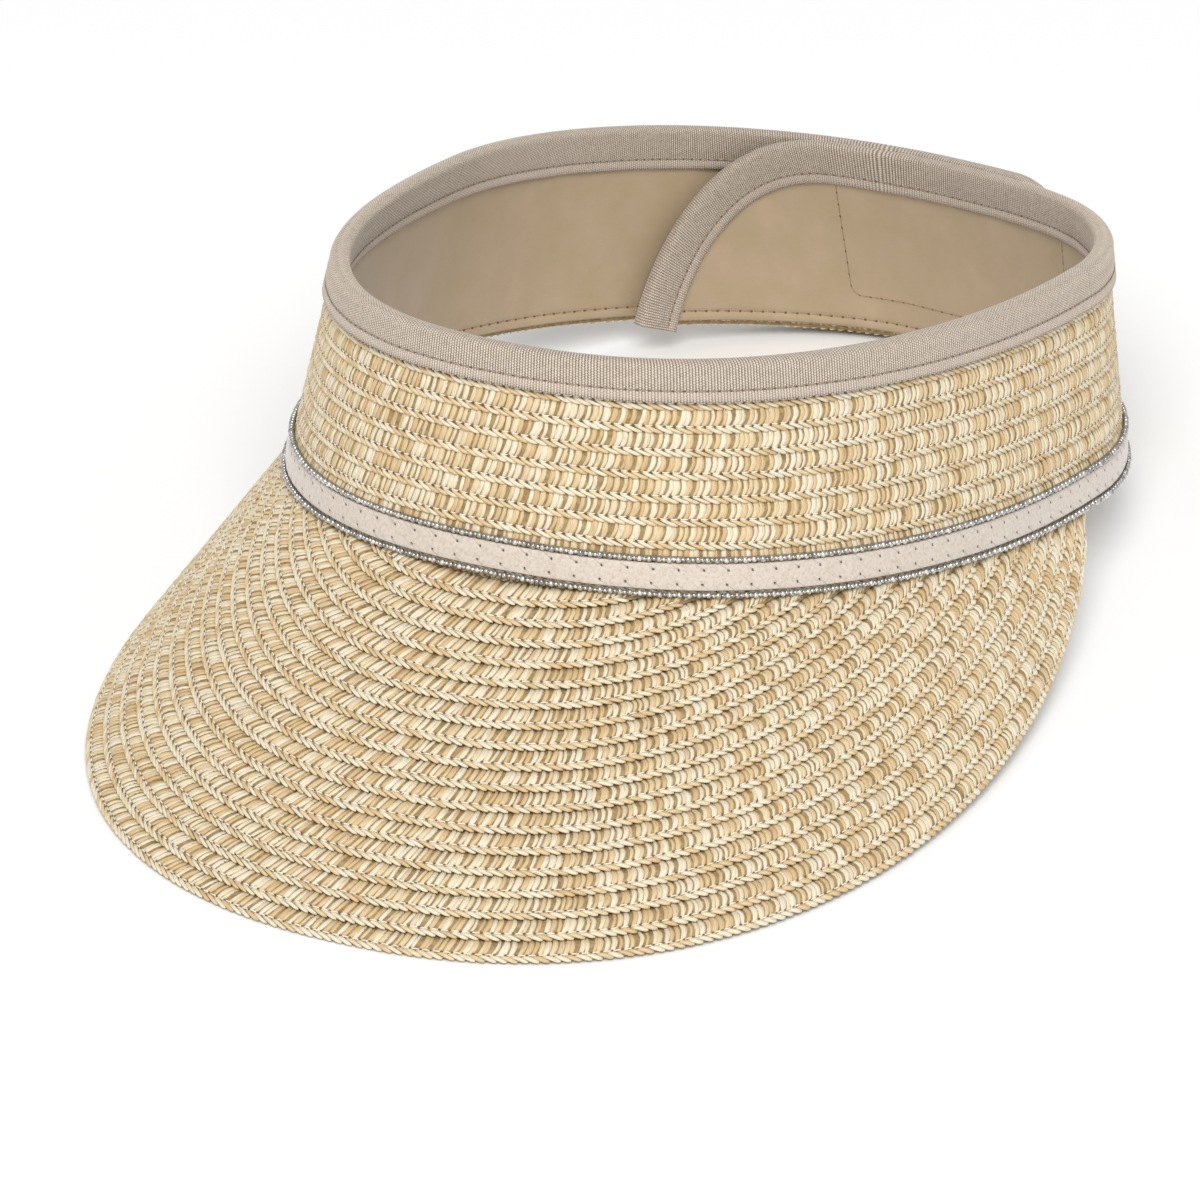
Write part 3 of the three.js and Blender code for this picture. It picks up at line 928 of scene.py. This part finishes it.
class Nodes:
    """A material's node tree, with short calls for the nodes that these materials use."""

    def __init__(self, name):
        self.material = bpy.data.materials.new(name)
        self.material.use_nodes = True
        self.tree = self.material.node_tree
        self.shader = self.tree.nodes["Principled BSDF"]

    def add(self, kind, inputs=(), **settings):
        node = self.tree.nodes.new(kind)
        for key, value in settings.items():
            setattr(node, key, value)
        for key, value in dict(inputs).items():
            self.fill(node.inputs[key], value)
        return node

    def fill(self, socket, value):
        """Link or set a socket; three numbers are an opaque colour."""
        if isinstance(value, bpy.types.NodeSocket):
            self.tree.links.new(value, socket)
        else:
            socket.default_value = (*value, 1) if isinstance(value, tuple) and len(value) == 3 else value

    def calculate(self, operation, a, b=0.0):
        return self.add("ShaderNodeMath", {0: a, 1: b}, operation=operation).outputs[0]

    def times(self, a, b):
        return self.calculate("MULTIPLY", a, b)

    def plus(self, a, b):
        return self.calculate("ADD", a, b)

    def grain(self):
        """The grain attribute and its three values."""
        grain = self.add("ShaderNodeAttribute", attribute_name="grain").outputs["Vector"]
        return grain, self.add("ShaderNodeSeparateXYZ", {0: grain}).outputs

    def place(self):
        return self.add("ShaderNodeTexCoord").outputs["Object"]

    def stretched(self, values, *scales):
        """The first two values, each times its own scale."""
        inputs = {k: self.times(values[k], scale) for k, scale in enumerate(scales)}
        return self.add("ShaderNodeCombineXYZ", inputs).outputs[0]

    def noise(self, vector, scale, detail=2.0, roughness=0.5):
        inputs = {"Vector": vector, "Scale": scale, "Detail": detail, "Roughness": roughness}
        return self.add("ShaderNodeTexNoise", inputs).outputs[0]

    def ramp(self, factor, stops):
        node = self.add("ShaderNodeValToRGB", {0: factor})
        elements = node.color_ramp.elements
        while len(elements) < len(stops):
            elements.new(0.5)
        for element, (position, color) in zip(elements, stops):
            element.position = position
            element.color = (*color, 1)
        return node.outputs[0]

    def mix(self, factor, a, b, blend="MIX"):
        inputs = {0: factor, 6: a, 7: b}
        return self.add("ShaderNodeMix", inputs, data_type="RGBA", blend_type=blend).outputs[2]

    def set(self, **values):
        for key, value in values.items():
            self.fill(self.shader.inputs[key.replace("_", " ")], value)

    def bump(self, height, strength, distance):
        node = self.add("ShaderNodeBump", {"Height": height, "Strength": strength, "Distance": distance})
        self.set(Normal=node.outputs[0])


def make_straw():
    """Paper straw: each strand has its own tone, with fine fibres along it."""
    n = Nodes("straw")
    grain, values = n.grain()
    fibre = n.noise(n.stretched(values, 5.5, 0.45), 1.0, detail=3.0, roughness=0.6)
    blotch = n.noise(grain, 0.35, detail=1.0)
    tone = n.ramp(values[2], [
        (0.0, (0.77, 0.71, 0.57)), (0.34, (0.76, 0.68, 0.50)), (0.46, (0.71, 0.58, 0.37)),
        (0.66, (0.66, 0.50, 0.29)), (0.82, (0.59, 0.43, 0.23)), (1.0, (0.79, 0.73, 0.61)),
    ])
    fibres = n.ramp(fibre, [(0.32, (0.52, 0.40, 0.24)), (0.47, (1, 1, 1)), (0.75, (1.0, 1.0, 1.0))])
    color = n.mix(0.6, tone, fibres, "MULTIPLY")
    color = n.mix(n.times(blotch, 0.25), color, (0.88, 0.76, 0.54), "MULTIPLY")
    n.set(Base_Color=color, Roughness=0.55, Specular_IOR_Level=0.4)
    n.bump(fibre, 0.5, 0.00015)
    return n.material


def make_core_shade():
    """Painted shade: the dark colour of the plait's shaded inside."""
    n = Nodes("straw_core_shade")
    noise = n.noise(n.place(), 900.0)
    n.set(Base_Color=n.ramp(noise, [(0.3, (0.24, 0.16, 0.07)), (0.7, (0.42, 0.30, 0.14))]), Roughness=0.9)
    return n.material


def make_thread(name, light, dark):
    """Twisted sewing thread; the same noisy two tones also paint the shade of needle holes and under the
    chain.
    """
    n = Nodes(name)
    noise = n.noise(n.place(), 2500.0)
    n.set(Base_Color=n.ramp(noise, [(0.3, dark), (0.7, light)]), Roughness=0.6)
    n.bump(noise, 0.3, 0.00005)
    return n.material


def make_tape():
    """Ribbed tape: painted shade in the weave's hollows, painted highlight on its floats; paler along the
    selvedge.
    """
    n = Nodes("ribbed_tape")
    _, values = n.grain()
    ribs = n.times(values[0], 1 / RIB)
    row = n.plus(n.times(values[1], 1 / FLOAT_SPACE), n.times(n.calculate("ROUND", ribs), 0.5))
    across = n.calculate("COSINE", n.times(ribs, 2 * math.pi))
    dots = n.calculate("COSINE", n.times(row, 2 * math.pi))
    place = n.place()
    fuzz = n.noise(place, 1400.0)
    cloud = n.noise(place, 30.0)
    height = n.plus(n.times(across, 0.34), n.times(dots, 0.24))
    height = n.plus(height, n.times(n.calculate("SUBTRACT", fuzz, 0.5), 0.5))
    # painted shade and highlight: the colour darkens with the weave's depth and brightens on its tops
    color = n.ramp(n.plus(height, 0.5), [
        (0.05, (0.16, 0.12, 0.09)), (0.38, (0.38, 0.31, 0.24)),
        (0.70, (0.58, 0.50, 0.41)), (1.0, (0.74, 0.67, 0.59)),
    ])
    color = n.mix(n.times(values[2], 0.28), color, (0.64, 0.54, 0.46))
    color = n.mix(n.times(cloud, 0.25), color, (0.86, 0.82, 0.78), "MULTIPLY")
    n.set(Base_Color=color, Roughness=0.68, Sheen_Weight=0.25, Sheen_Roughness=0.4, Specular_IOR_Level=0.35)
    n.bump(height, 0.55, 0.00018)
    return n.material


def make_lining():
    """Smooth twill with fine diagonals, slightly uneven in tone."""
    n = Nodes("twill_lining")
    grain, values = n.grain()
    diagonal = n.plus(values[0], n.times(values[1], 1.35))
    twill = n.calculate("SINE", n.times(diagonal, 2 * math.pi / TWILL_SPACE))
    cloud = n.noise(grain, 0.09, detail=3.0, roughness=0.55)
    slub = n.noise(n.stretched(values, 0.35, 5.0), 1.0)
    color = n.ramp(cloud, [(0.28, (0.44, 0.34, 0.21)), (0.55, (0.47, 0.36, 0.24)), (0.8, (0.51, 0.39, 0.26))])
    color = n.mix(n.times(slub, 0.22), color, (0.70, 0.62, 0.52), "MULTIPLY")
    n.set(Base_Color=color, Roughness=0.5, Specular_IOR_Level=0.4, Sheen_Weight=0.2, Sheen_Roughness=0.35)
    n.bump(n.plus(n.times(twill, 0.25), slub), 0.18, 0.00012)
    return n.material


def make_suede():
    """Brushed suede: a soft nap, with painted shade darkening its needle holes."""
    n = Nodes("suede")
    _, values = n.grain()
    place = n.place()
    nap = n.noise(place, 1500.0, detail=4.0, roughness=0.7)
    brushed = n.noise(place, 160.0, detail=3.0)
    color = n.ramp(nap, [(0.30, (0.50, 0.42, 0.35)), (0.52, (0.63, 0.56, 0.49)), (0.75, (0.69, 0.62, 0.56))])
    color = n.mix(n.times(brushed, 0.25), color, (0.88, 0.80, 0.70), "MULTIPLY")
    # painted shade: the needle holes are darkened almost to black
    hole = n.ramp(values[2], [(0.25, (0, 0, 0)), (0.62, (1, 1, 1))])
    color = n.mix(hole, color, (0.03, 0.02, 0.01))
    n.set(Base_Color=color, Roughness=0.95, Sheen_Weight=0.5, Sheen_Roughness=0.5, Specular_IOR_Level=0.15)
    n.bump(nap, 0.45, 0.00012)
    return n.material


def make_chain():
    """Silver plate, worn and slightly dull in places."""
    n = Nodes("ball_chain")
    wear = n.noise(n.place(), 700.0)
    n.set(Base_Color=n.ramp(wear, [(0.35, (0.34, 0.33, 0.31)), (0.65, (0.80, 0.79, 0.77))]), Metallic=1.0)
    rough = n.add("ShaderNodeMapRange", {"Value": wear, "To Min": 0.16, "To Max": 0.38}).outputs[0]
    n.set(Roughness=rough)
    n.bump(wear, 0.2, 0.00005)
    return n.material


def make_pile():
    """Woven base and pile of hook and loop tape."""
    n = Nodes("hook_and_loop")
    fuzz = n.noise(n.place(), 1100.0, detail=4.0, roughness=0.7)
    color = n.ramp(fuzz, [(0.3, (0.40, 0.31, 0.21)), (0.7, (0.66, 0.56, 0.42))])
    n.set(Base_Color=color, Roughness=0.9, Sheen_Weight=0.3)
    n.bump(fuzz, 0.6, 0.0002)
    return n.material


straw_material = make_straw()
# painted shade: the core's dark colour stands in for the shade between the strands
core_shade_material = make_core_shade()
# painted shade: small dark discs stand in for the shadow in the needle holes
hole_shade_material = make_thread("needle_hole_shade", (0.20, 0.13, 0.06), (0.08, 0.05, 0.02))
thread_material = make_thread("sewing_thread", (0.93, 0.87, 0.78), (0.78, 0.69, 0.58))
tape_material = make_tape()
# the tape's stitches: the thread's own colour, darkened with painted shade of the sunken seam
tape_thread_with_shade = make_thread("tape_thread_with_shade", (0.40, 0.32, 0.25), (0.24, 0.18, 0.14))
lining_material = make_lining()
lining_thread = make_thread("lining_thread", (0.42, 0.28, 0.17), (0.26, 0.16, 0.09))
suede_material = make_suede()
suede_thread = make_thread("suede_thread", (0.46, 0.40, 0.34), (0.34, 0.28, 0.24))
chain_material = make_chain()
# painted shadow under and between the chain's beads
chain_painted_shadow = make_thread("chain_painted_shadow", (0.30, 0.25, 0.20), (0.14, 0.11, 0.09))
pile_material = make_pile()

build_brim()
build_band()
for half in SIDES:
    build_binding(half)
    build_lining(half)
for kind in PATCHES:
    build_patch(kind)
build_suede()
build_chain("chain_bottom", CHAIN_LOW + CHAIN / 2, "trim_chain_bottom")
build_chain("chain_top", SUEDE_HIGH + GAP + CHAIN / 2, "trim_chain_top")

# ---- camera, light and floor ----
FRAME_PIXELS = 1200
VIEW_AZIMUTH, VIEW_ELEVATION = math.radians(22.48), math.radians(27.08)
VIEW_DISTANCE, VIEW_FOCAL = 1478.0, 7508.0  # millimetres, and pixels of the frame
VIEW_TILT = math.radians(12.56) - BAND_TILT  # the view was found with the band tilted this much more
AIM_RIGHT, AIM_UP = -27.7, -33.4  # from the middle of the band's base to the middle of the view
SENSOR_WIDTH = 36  # millimetres
# Metres and watts from here on.
CLIP_END = 100
KEY_PLACE, KEY_AIM, KEY_SIZE, KEY_POWER = (1.30, -3.20, 3.50), (0, 0, 0.03), 3.0, 190
DOME_STRENGTH = 0.57
FLOOR_REACH, FLOOR_TONE = 6.0, 0.97


def aim_camera():
    """The camera looks at the visor as in the photo."""
    sa, ca = math.sin(VIEW_AZIMUTH), math.cos(VIEW_AZIMUTH)
    se, ce = math.sin(VIEW_ELEVATION), math.cos(VIEW_ELEVATION)
    turn = Matrix.Rotation(VIEW_TILT, 3, "X")
    back = turn @ Vector((sa * ce, -ca * ce, se))
    right = turn @ Vector((ca, sa, 0))
    up = back.cross(right)
    base = Vector(OFFSET)
    eye = base + back * VIEW_DISTANCE
    target = base + right * AIM_RIGHT + up * AIM_UP
    forward = (target - eye).normalized()
    right = forward.cross(up).normalized()
    up = right.cross(forward)
    axes = Matrix((right, up, -forward)).transposed().to_4x4()
    camera = placed("camera", bpy.data.cameras.new("camera"))
    camera.matrix_world = Matrix.Translation(eye * MM) @ axes
    camera.data.sensor_width = SENSOR_WIDTH
    camera.data.lens = SENSOR_WIDTH * VIEW_FOCAL / FRAME_PIXELS
    camera.data.clip_end = CLIP_END
    bpy.context.scene.camera = camera


def build_floor():
    mesh = bpy.data.meshes.new("floor")
    corners = [(x * FLOOR_REACH, y * FLOOR_REACH, 0) for x, y in ((-1, -1), (1, -1), (1, 1), (-1, 1))]
    mesh.from_pydata(corners, [], [(0, 1, 2, 3)])
    n = Nodes("floor")
    n.set(Base_Color=(FLOOR_TONE,) * 3, Roughness=0.9, Specular_IOR_Level=0.1)
    mesh.materials.append(n.material)
    placed("floor", mesh)


def build_lights():
    """A soft key light over an even dome."""
    dome = bpy.data.worlds.new("studio")
    dome.use_nodes = True
    sky = dome.node_tree.nodes["Background"].inputs
    sky["Color"].default_value = (1, 1, 1, 1)
    sky["Strength"].default_value = DOME_STRENGTH
    bpy.context.scene.world = dome
    light = bpy.data.lights.new("key", "AREA")
    light.shape, light.size, light.energy = "DISK", KEY_SIZE, KEY_POWER
    key = placed("key", light)
    key.location = KEY_PLACE
    key.rotation_euler = (Vector(KEY_AIM) - Vector(KEY_PLACE)).to_track_quat("-Z", "Y").to_euler()


aim_camera()
build_floor()
build_lights()
bpy.context.scene.view_settings.view_transform = "Standard"
